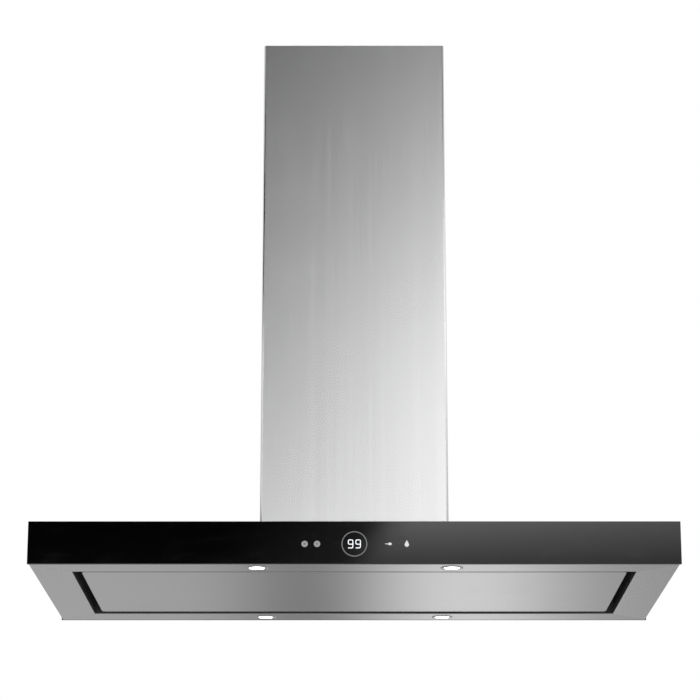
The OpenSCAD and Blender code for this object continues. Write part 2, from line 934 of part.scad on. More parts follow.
// side outline of the scroll: three quarter turns that grow by one step, then a straight outlet
module scroll_outline(t) {
    step = scroll_step;
    r1 = scroll_r - t;
    r2 = r1 + step;
    r3 = r2 + step;
    c1 = [-3, -3];
    c2 = c1 + [step, 0];
    c3 = c2 + [0, step];
    right = c3[0] + r3;
    left = right - 2 * outlet_half + 2 * t;
    big = 200;
    intersection() {
        translate(c1) circle(r = r1, $fn = 96);
        translate([c1[0] - big, c1[1]]) square([big, big]);
    }
    intersection() {
        translate(c2) circle(r = r2, $fn = 96);
        translate([c2[0] - big, c2[1] - big]) square([big, big]);
    }
    intersection() {
        translate(c3) circle(r = r3, $fn = 96);
        translate([c3[0], c3[1] - big]) square([big, big]);
    }
    translate(c1) square([step, r1]);
    translate(c3) square([r3, r1 - step]);
    translate([left, c3[1]]) square([right - left, box_top - box_t - scroll_z - c3[1]]);
}

module at_scroll() {
    translate([0, scroll_y, scroll_z]) children();
}

// stands an outline drawn in Y and Z up along X
module along_x(x0, x1) {
    translate([x0, 0, 0]) rotate([90, 0, 90]) linear_extrude(x1 - x0) children();
}

module blower_scroll() {
    color(zinc) at_scroll() difference() {
        along_x(-scroll_half, scroll_half) scroll_outline(0);
        along_x(-scroll_half + 1, scroll_half - 1) scroll_outline(1);
        x_rod(inlet_r, -scroll_half - 1, scroll_half + 1);
    }
}

module blower_screws() {
    color(dark_zinc) at_blower_screws() {
        translate([0, 0, -6]) cylinder(r = 2, h = 7.5);
        translate([0, 0, box_t]) cylinder(r = 4, h = 2);
    }
}

module impeller() {
    sweep = 9;
    color(plastic_grey) at_scroll() {
        // centre disc, hub and shaft
        difference() {
            x_rod(impeller_r, -1, 1, $fn = 96);
            for (a = [0 : 60 : 300])
                rotate([a, 0, 0]) translate([0, 36, 0]) x_rod(9, -2, 2);
        }
        x_rod(12, -10, 8);
        x_rod(shaft_r, -14, motor_x0 + 26);
        // end rings
        both_sides() difference() {
            x_rod(impeller_r, scroll_half - 8, scroll_half - 5);
            x_rod(blade_inner_r, scroll_half - 9, scroll_half - 4);
        }
        // forward curved blades, each two flat leaves
        for (i = [0 : blade_count - 1]) rotate([i * 360 / blade_count, 0, 0]) {
            block(-scroll_half + 6, scroll_half - 6, blade_inner_r + 0.5, blade_inner_r + 6, -0.5, 0.5);
            translate([0, blade_inner_r + 5.6, 0]) rotate([sweep * 3, 0, 0])
                block(-scroll_half + 6, scroll_half - 6, 0, 5, -0.5, 0.5);
        }
    }
}

module blower_motor() {
    color(dark_zinc) at_scroll() difference() {
        union() {
            x_rod(motor_r - 3, motor_x0, motor_x1);
            x_rod(motor_r, motor_x0 + 12, motor_x1 - 22);
            x_rod(motor_r, scroll_half + 2, scroll_half + 8);
        }
        x_rod(shaft_r + shaft_clearance, motor_x0 - 1, motor_x0 + 30);
    }
}

module motor_bracket() {
    color(zinc) at_scroll() {
        difference() {
            x_rod(inlet_r + 12, scroll_half, scroll_half + 2);
            x_rod(inlet_r + 1, scroll_half - 1, scroll_half + 3);
        }
        difference() {
            union() {
                x_rod(motor_r + 5, scroll_half, scroll_half + 2);
                for (a = [90, 210, 330])
                    rotate([a, 0, 0]) block(scroll_half, scroll_half + 2, motor_r + 2, inlet_r + 3, -6, 6);
            }
            x_rod(motor_r, scroll_half - 1, scroll_half + 3);
        }
    }
}

module outlet_collar() {
    color(zinc) difference() {
        union() {
            translate([0, 0, box_top]) cylinder(r = collar_r, h = collar_h, $fn = 96);
            translate([0, 0, box_top]) cylinder(r = collar_flange_r, h = 1, $fn = 96);
        }
        translate([0, 0, box_top - 1]) cylinder(r = collar_r - collar_t, h = collar_h + 2, $fn = 96);
        translate([0, 0, damper_z]) x_rod(damper_pin_r, -collar_r - 1, collar_r + 1);
    }
}

module damper_pin() {
    color(dark_zinc) translate([0, 0, damper_z]) x_rod(damper_pin_r, -collar_r, collar_r);
}

// half-round flap towards +Y, with barrels on the pin at the given places along X
module damper_flap(barrels) {
    color(plastic_black) translate([0, 0, damper_z]) difference() {
        union() {
            intersection() {
                translate([0, 0, -flap_t / 2]) cylinder(r = flap_r, h = flap_t, $fn = 96);
                block(-flap_r, flap_r, flap_inner, flap_r, -flap_t, flap_t);
            }
            for (x = barrels) {
                x_rod(barrel_r, x - 8, x + 8);
                block(x - 8, x + 8, 0, flap_inner + 1, -flap_t / 2, flap_t / 2);
            }
        }
        x_rod(barrel_hole_r, -flap_r, flap_r);
    }
}

module damper_flap_front() {
    mirror([0, 1, 0]) damper_flap([-48, 16]);
}

module damper_flap_rear() {
    damper_flap([-16, 48]);
}

ceiling_bracket();
upper_frame();
upper_rail_bolts();
upper_chimney_front();
upper_chimney_rear();
upper_chimney_screws();
lower_frame();
height_clamp_bolts();
frame_foot_bolts();
lower_chimney_front();
lower_chimney_rear();
lower_chimney_screws();
chimney_foot_ring();
canopy_shell();
front_glass();
rear_glass();
glass_bonding_strips();
display_ring();
display_digits();
touch_icons();
display_module();
underside_front_strip();
underside_rear_strip();
underside_left_strip();
underside_right_strip();
filter_frame();
grease_filter_left();
grease_filter_center();
grease_filter_right();
filter_meshes();
latch_housings();
latch_springs();
filter_latch_left();
filter_latch_center();
filter_latch_right();
perimeter_panel();
panel_strikes();
panel_hinge_brackets();
panel_hinge_pins();
magnet_catches();
lamp_bezels();
lamp_lenses();
lamp_housings();
lamp_clips();
control_box();
led_driver();
motor_capacitor();
terminal_box();
cable_gland();
wiring_harness();
blower_box();
blower_scroll();
blower_screws();
impeller();
blower_motor();
motor_bracket();
outlet_collar();
damper_flap_front();
damper_flap_rear();
damper_pin();
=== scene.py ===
"""Looks of the island range hood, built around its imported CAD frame."""

import math

import bmesh
import bpy
from mathutils import Matrix, Vector
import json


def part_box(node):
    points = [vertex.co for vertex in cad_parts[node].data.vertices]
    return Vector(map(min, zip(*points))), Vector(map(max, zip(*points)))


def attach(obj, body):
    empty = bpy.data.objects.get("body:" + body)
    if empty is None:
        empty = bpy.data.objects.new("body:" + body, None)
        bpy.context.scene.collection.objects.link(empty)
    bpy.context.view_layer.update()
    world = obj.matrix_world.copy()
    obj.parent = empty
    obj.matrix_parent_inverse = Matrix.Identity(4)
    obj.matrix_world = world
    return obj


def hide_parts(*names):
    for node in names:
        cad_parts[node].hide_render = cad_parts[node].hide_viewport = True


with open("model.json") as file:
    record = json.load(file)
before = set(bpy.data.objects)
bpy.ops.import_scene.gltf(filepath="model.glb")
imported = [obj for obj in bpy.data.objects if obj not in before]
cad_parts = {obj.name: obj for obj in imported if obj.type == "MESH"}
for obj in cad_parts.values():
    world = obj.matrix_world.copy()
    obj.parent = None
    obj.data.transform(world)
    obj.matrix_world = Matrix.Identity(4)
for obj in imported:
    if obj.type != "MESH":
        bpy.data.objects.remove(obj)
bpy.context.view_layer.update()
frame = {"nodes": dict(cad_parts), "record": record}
nodes = frame["nodes"]
MM = 0.001


# ---- node graphs -----------------------------------------------------------------------------

class Graph:
    """A node tree with short calls for the nodes that the materials and the world share."""

    def __init__(self, tree):
        self.tree = tree

    def node(self, kind, inputs=(), **settings):
        """A new node with its settings made and its inputs, by name or number, fed."""
        made = self.tree.nodes.new(kind)
        for key, value in settings.items():
            setattr(made, key, value)
        for key, value in dict(inputs).items():
            self.feed(made.inputs[key], value)
        return made

    def feed(self, socket, value):
        """Links another socket's output, or sets a plain value."""
        if isinstance(value, bpy.types.NodeSocket):
            self.tree.links.new(value, socket)
        else:
            socket.default_value = value

    def math(self, operation, *values):
        return self.node("ShaderNodeMath", enumerate(values), operation=operation).outputs[0]

    def spread(self, value, low, high, to_low=0.0, to_high=1.0, smooth=True):
        """Carries a range of values to another range, held at both ends."""
        curve = "SMOOTHSTEP" if smooth else "LINEAR"
        return self.node("ShaderNodeMapRange", enumerate((value, low, high, to_low, to_high)),
                         clamp=True, interpolation_type=curve).outputs[0]

    def place(self, scale=(1, 1, 1), turn=(0, 0, 0)):
        """Object coordinates, in metres of the shared frame, stretched and turned."""
        coordinates = self.node("ShaderNodeTexCoord").outputs["Object"]
        return self.node("ShaderNodeMapping",
                         {"Vector": coordinates, "Scale": scale, "Rotation": turn}).outputs[0]

    def noise(self, vector, scale, detail, rough=0.5):
        return self.node("ShaderNodeTexNoise", {"Vector": vector, "Scale": scale, "Detail": detail,
                                                "Roughness": rough}).outputs[0]

    def blend(self, factor, first, second):
        """Mixes two colours."""
        return self.node("ShaderNodeMix", {"Factor": factor, 6: first, 7: second},
                         data_type="RGBA").outputs[2]

    def pick(self, factor, first, second):
        """Mixes two vectors."""
        return self.node("ShaderNodeMix", {"Factor": factor, 4: first, 5: second},
                         data_type="VECTOR").outputs[1]

    def bump(self, height, distance, strength):
        return self.node("ShaderNodeBump", {"Height": height, "Distance": distance,
                                            "Strength": strength}).outputs[0]


# ---- materials -------------------------------------------------------------------------------

STRETCH = 0.004  # how far the brushing is drawn out along its grain
AXES = {axis: tuple(float(axis == other) for other in "XYZ") for axis in "XYZ"}
GRAIN = {axis: tuple(STRETCH if axis == other else 1.0 for other in "XYZ") for axis in "XYZ"}
NEXT_AXIS = {"X": "Y", "Y": "X", "Z": "X"}
materials = {}  # by name, among them one for each of the record's material slots


def grey(level):
    return (level, level, level, 1.0)


def shade(tint, share):
    """A tint made darker or lighter, as a shader colour."""
    return tuple(c * share for c in tint) + (1.0,)


def new_surface(name, **sockets):
    """Adds a material, and gives its graph and its Principled shader with plain values set."""
    material = bpy.data.materials.new(name)
    material.use_nodes = True
    shader = material.node_tree.nodes["Principled BSDF"]
    for key, value in sockets.items():
        shader.inputs[key.replace("_", " ")].default_value = value
    materials[name] = material
    return Graph(material.node_tree), shader.inputs


def brushed(name, tint, grain, roughness, anisotropy=0.3, contrast=1.0):
    """Brushed sheet metal: fine scratches along the grain, faint broader streaks and handling marks."""
    graph, shader = new_surface(name, Metallic=1.0, Anisotropic=anisotropy)
    normal = graph.node("ShaderNodeNewGeometry").outputs["Normal"]
    # faces square to the grain are brushed along the next axis
    facing = graph.node("ShaderNodeVectorMath", {0: normal, 1: AXES[grain]}, operation="DOT_PRODUCT")
    square_on = graph.spread(graph.math("ABSOLUTE", facing.outputs["Value"]), 0.7, 0.72)
    other = NEXT_AXIS[grain]
    along = graph.pick(square_on, graph.place(GRAIN[grain]), graph.place(GRAIN[other]))
    scratches = graph.noise(along, 700, detail=3, rough=0.6)
    streaks = graph.noise(along, 160, detail=2)
    marks = graph.noise(graph.place(), 7, detail=4, rough=0.6)
    tone = graph.math("MULTIPLY_ADD", scratches, 0.4, graph.math("MULTIPLY", streaks, 0.6))
    dark, light = shade(tint, 1 - 0.03 * contrast), shade(tint, 1 + 0.02 * contrast)
    graph.feed(shader["Base Color"], graph.blend(graph.spread(tone, 0.35, 0.65), dark, light))
    swing = 0.01 * contrast
    rough = graph.spread(scratches, 0.3, 0.7, roughness - swing, roughness + swing)
    worn = graph.spread(marks, 0.5, 0.8, 0.0, 0.015)
    graph.feed(shader["Roughness"], graph.math("ADD", rough, worn))
    graph.feed(shader["Normal"], graph.bump(scratches, 0.000003, 0.05 * contrast))
    # the highlight stretches across the grain, in the plane of the sheet
    brushing = graph.pick(square_on, AXES[grain], AXES[other])
    across = graph.node("ShaderNodeVectorMath", {0: normal, 1: brushing}, operation="CROSS_PRODUCT")
    graph.feed(shader["Tangent"], across.outputs[0])


def plain_metal(name, tint, roughness, scale=900, depth=0.00002):
    """Turned, plated or drawn metal with a faint uneven sheen."""
    graph, shader = new_surface(name, Metallic=1.0)
    fine = graph.noise(graph.place(), scale, detail=3)
    broad = graph.noise(graph.place(), 60, detail=3)
    graph.feed(shader["Base Color"],
               graph.blend(graph.spread(broad, 0.35, 0.65), shade(tint, 0.86), shade(tint, 1.06)))
    graph.feed(shader["Roughness"], graph.spread(fine, 0.3, 0.7, roughness - 0.05, roughness + 0.06))
    graph.feed(shader["Normal"], graph.bump(fine, depth, 0.3))


def spangled(name, tint):
    """Hot-dip galvanised sheet: crystal spangles of slightly different brightness and sheen."""
    graph, shader = new_surface(name, Metallic=1.0)
    base = graph.place()
    wobble = graph.spread(graph.noise(base, 70, detail=2), 0, 1, 0.99, 1.01, smooth=False)
    shifted = graph.node("ShaderNodeVectorMath", {0: base, "Scale": wobble}, operation="SCALE")
    crystals = graph.node("ShaderNodeTexVoronoi", {"Vector": shifted.outputs[0], "Scale": 95})
    level = graph.node("ShaderNodeSeparateColor", {0: crystals.outputs["Color"]})
    graph.feed(shader["Base Color"],
               graph.blend(level.outputs[0], shade(tint, 0.8), shade(tint, 1.12)))
    graph.feed(shader["Roughness"], graph.spread(level.outputs[1], 0, 1, 0.34, 0.5, smooth=False))
    graph.feed(shader["Normal"], graph.bump(graph.noise(base, 700, detail=2), 0.00003, 0.3))


def moulded(name, tint, roughness, grain_scale=1500, depth=0.00004):
    """Moulded plastic, rubber or paint with a fine eroded texture and uneven gloss."""
    graph, shader = new_surface(name)
    fine = graph.noise(graph.place(), grain_scale, detail=2)
    broad = graph.noise(graph.place(), 35, detail=3)
    graph.feed(shader["Base Color"],
               graph.blend(graph.spread(broad, 0.35, 0.65), shade(tint, 0.88), shade(tint, 1.1)))
    graph.feed(shader["Roughness"], graph.spread(broad, 0.3, 0.7, roughness - 0.05, roughness + 0.05))
    graph.feed(shader["Normal"], graph.bump(fine, depth, 0.5))


def glossy_glass(name):
    """Tempered glass, black behind: clean gloss with the faintest wiping marks."""
    graph, shader = new_surface(name, IOR=1.5, Specular_IOR_Level=0.5)
    wiped = graph.noise(graph.place((1.0, 1.0, 3.0), (0, 0.5, 0)), 14, detail=5, rough=0.65)
    graph.feed(shader["Base Color"],
               graph.blend(graph.spread(wiped, 0.5, 0.8), grey(0.0012), grey(0.002)))
    graph.feed(shader["Roughness"], graph.spread(wiped, 0.45, 0.8, 0.035, 0.075))


def lit(name, tint, strength, roughness=0.12, unlit=0.6):
    """A lit part behind a glossy face, slightly uneven; unlit is its own colour's share of the tint."""
    graph, shader = new_surface(name, Roughness=roughness)
    uneven = graph.noise(graph.place(), 420, detail=3)
    shader["Base Color"].default_value = shade(tint, unlit)
    shader["Emission Color"].default_value = shade(tint, 1.0)
    graph.feed(shader["Emission Strength"],
               graph.spread(uneven, 0.3, 0.7, strength * 0.88, strength * 1.06))


STEEL = (0.600, 0.601, 0.603)
brushed("column_steel", STEEL, "Z", 0.235, contrast=0.75)
brushed("canopy_steel", STEEL, "X", 0.30)
brushed("margin_steel_long", STEEL, "X", 0.26, contrast=0.6)
# the end strips are the same steel, tinted darker: painted shade
brushed("margin_steel_end", (0.555, 0.556, 0.558), "Y", 0.27, anisotropy=0.4, contrast=0.4)
brushed("panel_steel", STEEL, "X", 0.25, contrast=0.6)
# a darker steel for the pan's rim: painted shade along the slot round the panel
brushed("rim_steel_painted_shade", (0.22, 0.22, 0.222), "X", 0.4)
brushed("filter_aluminium", (0.66, 0.67, 0.68), "X", 0.33)
glossy_glass("black_glass")
lit("display_white", (0.93, 0.96, 1.0), 0.66)
lit("print_grey", (0.85, 0.88, 0.92), 0.28)
lit("ring_glow", (0.86, 0.88, 0.9), 0.17, unlit=0.03)
lit("mark_glow", (0.93, 0.95, 0.98), 0.74, unlit=0.05)
lit("dot_glow", (0.92, 0.93, 0.94), 0.3, unlit=0.05)
lit("lens", (1.0, 0.985, 0.95), 6.0, roughness=0.4)
spangled("galvanised", (0.52, 0.54, 0.55))
plain_metal("fastener_steel", (0.42, 0.41, 0.39), 0.34)
plain_metal("screw_stainless", (0.58, 0.58, 0.57), 0.25)
plain_metal("filter_mesh", (0.60, 0.61, 0.62), 0.38)
plain_metal("spring_steel", (0.45, 0.45, 0.46), 0.22)
plain_metal("bezel_steel", (0.44, 0.44, 0.445), 0.22)
plain_metal("heat_sink", (0.50, 0.51, 0.52), 0.45, 500, 0.00008)
plain_metal("capacitor_can", (0.66, 0.67, 0.68), 0.28)
moulded("ground_edge", (0.035, 0.038, 0.037), 0.3, 2200, 0.00002)
moulded("module_plastic", (0.03, 0.03, 0.032), 0.5)
# black: the filter frame's powder coat, kept this dark as painted shade for the slots as well; on the strips'
# slot walls it is painted shade only
moulded("frame_paint", (0.035, 0.035, 0.036), 0.5, 900, 0.00005)
moulded("latch_plastic", (0.11, 0.11, 0.115), 0.45)
moulded("black_plastic", (0.022, 0.022, 0.023), 0.42)
moulded("box_plastic", (0.36, 0.37, 0.38), 0.48)
moulded("cable_black", (0.016, 0.016, 0.017), 0.5)
moulded("impeller_plastic", (0.12, 0.125, 0.13), 0.45)
moulded("motor_paint", (0.03, 0.03, 0.033), 0.3, 600, 0.00006)
moulded("bonding_tape", (0.02, 0.02, 0.021), 0.85, 1200, 0.0001)


# ---- pieces ----------------------------------------------------------------------------------

CRISP = 32.0  # degrees; sharper folds stay crisp
replaced = set()  # CAD nodes that a piece stands for


def placed(name, data):
    """A new object with this data, in the scene."""
    obj = bpy.data.objects.new(name, data)
    bpy.context.scene.collection.objects.link(obj)
    return obj


def mesh_of(bm, name):
    """Turns a bmesh drawn in millimetres into a mesh in metres."""
    bmesh.ops.scale(bm, vec=(MM, MM, MM), verts=bm.verts)
    bmesh.ops.recalc_face_normals(bm, faces=bm.faces)
    mesh = bpy.data.meshes.new(name)
    bm.to_mesh(mesh)
    bm.free()
    return mesh


def shaded(obj, angle=CRISP):
    """Smooth shading that keeps flat faces flat and the folds sharper than the angle crisp."""
    obj.data.shade_smooth()
    obj.data.set_sharp_from_angle(angle=math.radians(angle))
    even = obj.modifiers.new("even", "WEIGHTED_NORMAL")
    even.keep_sharp = True
    even.weight = 60  # a little in favour of the larger faces


def piece(name, bm, slot, body, *stands_for, finish=None, angle=CRISP):
    """Turns a bmesh into a piece on a body; its finish is the slot's own unless another is named."""
    obj = placed(name, mesh_of(bm, name))
    obj.data.materials.append(materials[finish or slot])
    shaded(obj, angle)
    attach(obj, body)
    if stands_for:
        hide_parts(*stands_for)
        replaced.update(stands_for)
    return obj


def cut(obj, bm):
    """Takes a cutter, a bmesh in millimetres, out of a piece."""
    cutter_mesh = mesh_of(bm, "cutter")
    cutter = placed("cutter", cutter_mesh)
    obj.modifiers.clear()
    boolean = obj.modifiers.new("cut", "BOOLEAN")
    boolean.object = cutter
    boolean.operation = "DIFFERENCE"
    boolean.solver = "EXACT"
    scene_graph = bpy.context.evaluated_depsgraph_get()
    result = bpy.data.meshes.new_from_object(obj.evaluated_get(scene_graph))
    obj.modifiers.clear()
    uncut, obj.data = obj.data, result
    bpy.data.objects.remove(cutter)
    bpy.data.meshes.remove(cutter_mesh)
    bpy.data.meshes.remove(uncut)
    shaded(obj)


# ---- shapes ----------------------------------------------------------------------------------

def skin(bm, rings, capped=False):
    """Joins rings of points with faces; the last ring meets the first, or both ends are capped."""
    rows = [[bm.verts.new(point) for point in ring] for ring in rings]
    pairs = list(zip(rows, rows[1:]))
    if not capped:
        pairs.append((rows[-1], rows[0]))
    count = len(rows[0])
    for first, second in pairs:
        for i in range(count):
            j = (i + 1) % count
            bm.faces.new((first[i], first[j], second[j], second[i]))
    if capped:
        bm.faces.new(list(reversed(rows[0])))
        bm.faces.new(rows[-1])
    return rows


def arc(centre, radius, start, end, steps):
    """Points of an arc in a plane, angles in degrees."""
    return [(centre[0] + radius * math.cos(math.radians(start + (end - start) * i / steps)),
             centre[1] + radius * math.sin(math.radians(start + (end - start) * i / steps)))
            for i in range(steps + 1)]


def turned(bm, profile, place, steps):
    """Revolves (radius, height) points round Z; a third number makes that ring a polygon of so many sides."""
    columns = []
    for radius, height, *sides in profile:
        column = []
        for i in range(steps if radius else 1):
            angle, reach = math.tau * i / steps, radius
            if sides:
                part = math.tau / sides[0]
                reach /= math.cos(angle % part - part / 2)
            point = Vector((reach * math.cos(angle), reach * math.sin(angle), height))
            column.append(bm.verts.new(place @ point))
        columns.append(column)
    for first, second in zip(columns, columns[1:]):
        for i in range(steps):
            j = (i + 1) % steps
            around = (first[i % len(first)], first[j % len(first)],
                      second[j % len(second)], second[i % len(second)])
            unique = list(dict.fromkeys(around))
            if len(unique) > 2:
                bm.faces.new(unique)


def rod(bm, start, end, radius, steps):
    """A capped round bar between two points."""
    start, end = Vector(start), Vector(end)
    along = end - start
    place = Matrix.Translation(start) @ along.to_track_quat("Z", "Y").to_matrix().to_4x4()
    turned(bm, [(0, 0), (radius, 0), (radius, along.length), (0, along.length)], place, steps)


def brick(bm, low, high, edge=0.0, segments=2):
    """A block with rounded edges."""
    made = bmesh.ops.create_cube(bm, size=1.0)["verts"]
    for vert in made:
        vert.co = Vector([low[i] + (vert.co[i] + 0.5) * (high[i] - low[i]) for i in range(3)])
    if edge:
        edges = list({e for vert in made for e in vert.link_edges})
        bmesh.ops.bevel(bm, geom=edges, offset=edge, segments=segments, profile=0.5, affect="EDGES")


def slab(bm, outline, thickness, place):
    """Extrudes a flat outline, drawn in X and Y, along Z."""
    rings = [[place @ Vector((x, y, z)) for x, y in outline] for z in (0, thickness)]
    skin(bm, rings, capped=True)


def stroke(bm, points, width, thickness, place):
    """A line of even width with round ends along flat points, extruded along Z."""
    points = [Vector(p) for p in points]
    left, right = [], []
    for i, point in enumerate(points):
        before = points[max(i - 1, 0)]
        after = points[min(i + 1, len(points) - 1)]
        along = (after - before).normalized()
        side = Vector((-along.y, along.x)) * width / 2
        if 0 < i < len(points) - 1:
            turn = (point - before).normalized().dot(along)
            side /= max(turn, 0.5)
        left.append(point + side)
        right.append(point - side)

    def round_end(tip, inward):
        """Half a circle round a tip, away from the point next to it."""
        heading = math.degrees((tip - inward).angle_signed(Vector((1, 0))))
        return arc(tip, width / 2, heading + 90, heading - 90, 6)[1:-1]

    outline = ([tuple(p) for p in left] + round_end(points[-1], points[-2])
               + [tuple(p) for p in reversed(right)] + round_end(points[0], points[1]))
    slab(bm, outline, thickness, place)


def tube(bm, points, radius, sides):
    """A round bar along points, with flat ends."""
    points = [Vector(p) for p in points]
    rings = []
    normal = None
    for i, point in enumerate(points):
        along = (points[min(i + 1, len(points) - 1)] - points[max(i - 1, 0)]).normalized()
        normal = along.orthogonal() if normal is None else normal - along * normal.dot(along)
        normal.normalize()
        other = along.cross(normal)
        rings.append([point + normal * radius * math.cos(math.tau * k / sides)
                      + other * radius * math.sin(math.tau * k / sides) for k in range(sides)])
    skin(bm, rings, capped=True)


def rounded_path(points, radius):
    """Rounds the inner corners of a flat open path."""
    steps = 5
    points = [Vector(p) for p in points]
    path = [points[0]]
    for before, corner, after in zip(points, points[1:], points[2:]):
        start = corner + (before - corner).normalized() * radius
        end = corner + (after - corner).normalized() * radius
        for t in [i / steps for i in range(steps + 1)]:
            path.append(start.lerp(corner, t).lerp(corner.lerp(end, t), t))
    return path + [points[-1]]


# ---- measuring the frame ---------------------------------------------------------------------

def corners(node):
    """A CAD node's lowest and highest corner in millimetres."""
    low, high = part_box(node)
    return Vector(low) / MM, Vector(high) / MM


def islands(node):
    """The lowest and highest corner, in millimetres, of each separate lump of a CAD node."""
    bm = bmesh.new()
    bm.from_mesh(nodes[node].data)
    bmesh.ops.remove_doubles(bm, verts=bm.verts, dist=1e-6)
    left = set(bm.verts)
    found = []
    while left:
        heap, lump = [left.pop()], []
        while heap:
            vert = heap.pop()
            lump.append(vert.co / MM)
            for edge in vert.link_edges:
                other = edge.other_vert(vert)
                if other in left:
                    left.discard(other)
                    heap.append(other)
        found.append(tuple(Vector([end(point[i] for point in lump) for i in range(3)])
                           for end in (min, max)))
    bm.free()
    return sorted(found, key=lambda box: tuple(round(c, 3) for c in (*box[0], *box[1])))


# ---- glass plates ----------------------------------------------------------------------------

glass_low, glass_high = corners("front_glass")
z_bot, z_top = glass_low.z, glass_high.z  # underside and top of the canopy
PROUD = 0.1  # how far the inlays of the display stand out of the glass


def build_glass(node, low_y, high_y):
    """A plate with its ground edges in their own finish."""
    bm = bmesh.new()
    brick(bm, (glass_low.x, low_y, z_bot), (glass_high.x, high_y, z_top), edge=1.0, segments=3)
    plate = piece(node + "_plate", bm, "black_glass", "hood", node)
    plate.data.materials.append(materials["ground_edge"])
    for face in plate.data.polygons:
        face.material_index = int(abs(face.normal.y) < 0.5)


build_glass("front_glass", glass_low.y + PROUD, glass_high.y)
build_glass("rear_glass", -glass_high.y, -glass_low.y)


# ---- display ---------------------------------------------------------------------------------

ring_low, ring_high = corners("display_ring")
INLAY = 0.3  # thickness of an inlay
# turns a flat drawing upright, with its outer face where the CAD glass has its own
on_face = (Matrix.Translation((0, glass_low.y + INLAY, (ring_low.z + ring_high.z) / 2))
           @ Matrix.Rotation(math.radians(90), 4, "X"))


def disc_ring(bm, x, outer, inner, steps):
    """A flat ring with a softened outer face, lying in the glass face."""
    rings = []
    for radius, height in ((inner, 0), (outer, 0), (outer, INLAY - 0.05), (outer - 0.1, INLAY),
                           (inner + 0.1, INLAY), (inner, INLAY - 0.05)):
        circle = [(x + radius * math.cos(math.tau * i / steps), radius * math.sin(math.tau * i / steps))
                  for i in range(steps)]
        rings.append([on_face @ Vector((*point, height)) for point in circle])
    skin(bm, rings)


def build_halo():
    """The thin ring round the figures."""
    radius, line = (ring_high.x - ring_low.x) / 2, 1.9
    bm = bmesh.new()
    disc_ring(bm, 0, radius, radius - line, 96)
    piece("display_halo", bm, "print_grey", "hood", "display_ring", finish="ring_glow")


def build_numerals():
    """Two generic figures, each one bent stroke."""
    low, high = corners("display_digits")
    line, corner = 1.75, 2.8  # width of the stroke, and radius of its bends
    waist = -0.6  # height of the middle bar
    fill, wide = 0.93, 10.1  # share of the height that a figure takes up, and its width
    half_h = ((high.z - low.z) * fill - line) / 2
    half_w = (wide - line) / 2
    bm = bmesh.new()
    for middle in (-6.9, 6.9):
        left, right = middle - half_w, middle + half_w
        path = [(right, waist), (left, waist), (left, half_h), (right, half_h), (right, -half_h),
                (left + 0.4, -half_h)]
        stroke(bm, rounded_path(path, corner), line, INLAY, on_face)
    piece("display_numerals", bm, "display_white", "hood", "display_digits")


def build_marks():
    """Generic touch marks: a slider and a drop right of the ring, two pierced dots left of it."""
    middles = sorted((low.x + high.x) / 2 for low, high in islands("touch_icons"))
    slider, drop = middles[-2:]
    icons = bmesh.new()
    stroke(icons, [(slider - 6.5, 0), (slider, 0)], 1.2, INLAY, on_face)
    oval = [(slider + 1.7 + 3.6 * math.cos(t), 2.5 * math.sin(t))
            for t in [math.tau * i / 28 for i in range(28)]]
    slab(icons, oval, INLAY, on_face)
    # the drop's sides leave its round part this many degrees from the tip
    shoulder = 60.7
    bowl = arc((drop, -1.4), 4.0, 90 + shoulder, 450 - shoulder, 24)
    slab(icons, bowl + [(drop + 0.35, 6.7), (drop - 0.35, 6.7)], INLAY, on_face)
    piece("touch_marks", icons, "print_grey", "hood", "touch_icons", finish="mark_glow")
    dots = bmesh.new()
    for x in middles[:2]:
        disc_ring(dots, x, 5.9, 1.1, 40)
    piece("touch_dots", dots, "print_grey", "hood", finish="dot_glow")


build_halo()
build_numerals()
build_marks()


# ---- underside margin ------------------------------------------------------------------------

strip_low, strip_high = corners("underside_front_strip")
end_low, end_high = corners("underside_left_strip")
open_x, open_y = -end_high.x, -strip_high.y
margin_x, margin_y = -end_low.x - open_x, -strip_low.y - open_y
LAMPS = [((low.x + high.x) / 2, (low.y + high.y) / 2) for low, high in islands("lamp_bezels")]
LAMP_HOLE = 18.0  # radius
SHEET = 1.2  # thickness of the steel
FOLD = 1.5  # outer radius of the fold along the slot
RIM_FOLD = 0.9  # radius along the canopy's edge
MITRE_GAP = 0.12  # what each strip stays back from the mitre, along its length


def strip_profile(margin):
    """Section across a margin strip as (distance out from the slot, height), closed."""
    wall_top = strip_high.z
    centre = (FOLD, z_bot + FOLD)
    outer = [(0, wall_top)] + arc(centre, FOLD, 180, 270, 6)
    edge = arc((margin - RIM_FOLD, z_bot + RIM_FOLD), RIM_FOLD, 270, 360, 4)
    edge += [(margin, z_bot + SHEET + 0.1), (margin - 1, z_bot + SHEET)]
    inside = arc(centre, FOLD - SHEET, 270, 180, 4) + [(SHEET, wall_top)]
    return outer + edge + inside


def strip_point(along, sign, share, out, height):
    """A point of a strip: along is the axis it runs on, share is -1 or 1 for its two mitred ends."""
    if along == "X":
        end = open_x + out * margin_x / margin_y - MITRE_GAP
        return Vector((share * end, sign * (open_y + out), height))
    end = open_y + out * margin_y / margin_x - MITRE_GAP
    return Vector((sign * (open_x + out), share * end, height))


def build_strip(node, along, sign):
    """A folded strip between two mitres, with the lamp holes in the long ones."""
    long_side = along == "X"
    profile = strip_profile(margin_y if long_side else margin_x)
    bm = bmesh.new()
    skin(bm, [[strip_point(along, sign, share, out, height) for out, height in profile]
              for share in (-1, 1)], capped=True)
    slot = "margin_steel_long" if long_side else "margin_steel_end"
    strip = piece(node + "_sheet", bm, slot, "hood", node)
    # its second finish, black, is painted shade on the slot's wall
    strip.data.materials.append(materials["frame_paint"])
    if long_side:
        holes = bmesh.new()
        for x, y in LAMPS:
            if y * sign > 0:
                rod(holes, (x, y, z_bot - 3), (x, y, z_bot + 5), LAMP_HOLE, 48)
        cut(strip, holes)
    # the slot's wall is blacked out as painted shade, the dark of the slot's depth, so that only the sheet
    # shows from below
    for face in strip.data.polygons:
        if face.center.z / MM > z_bot + FOLD * 0.55:
            face.material_index = 1


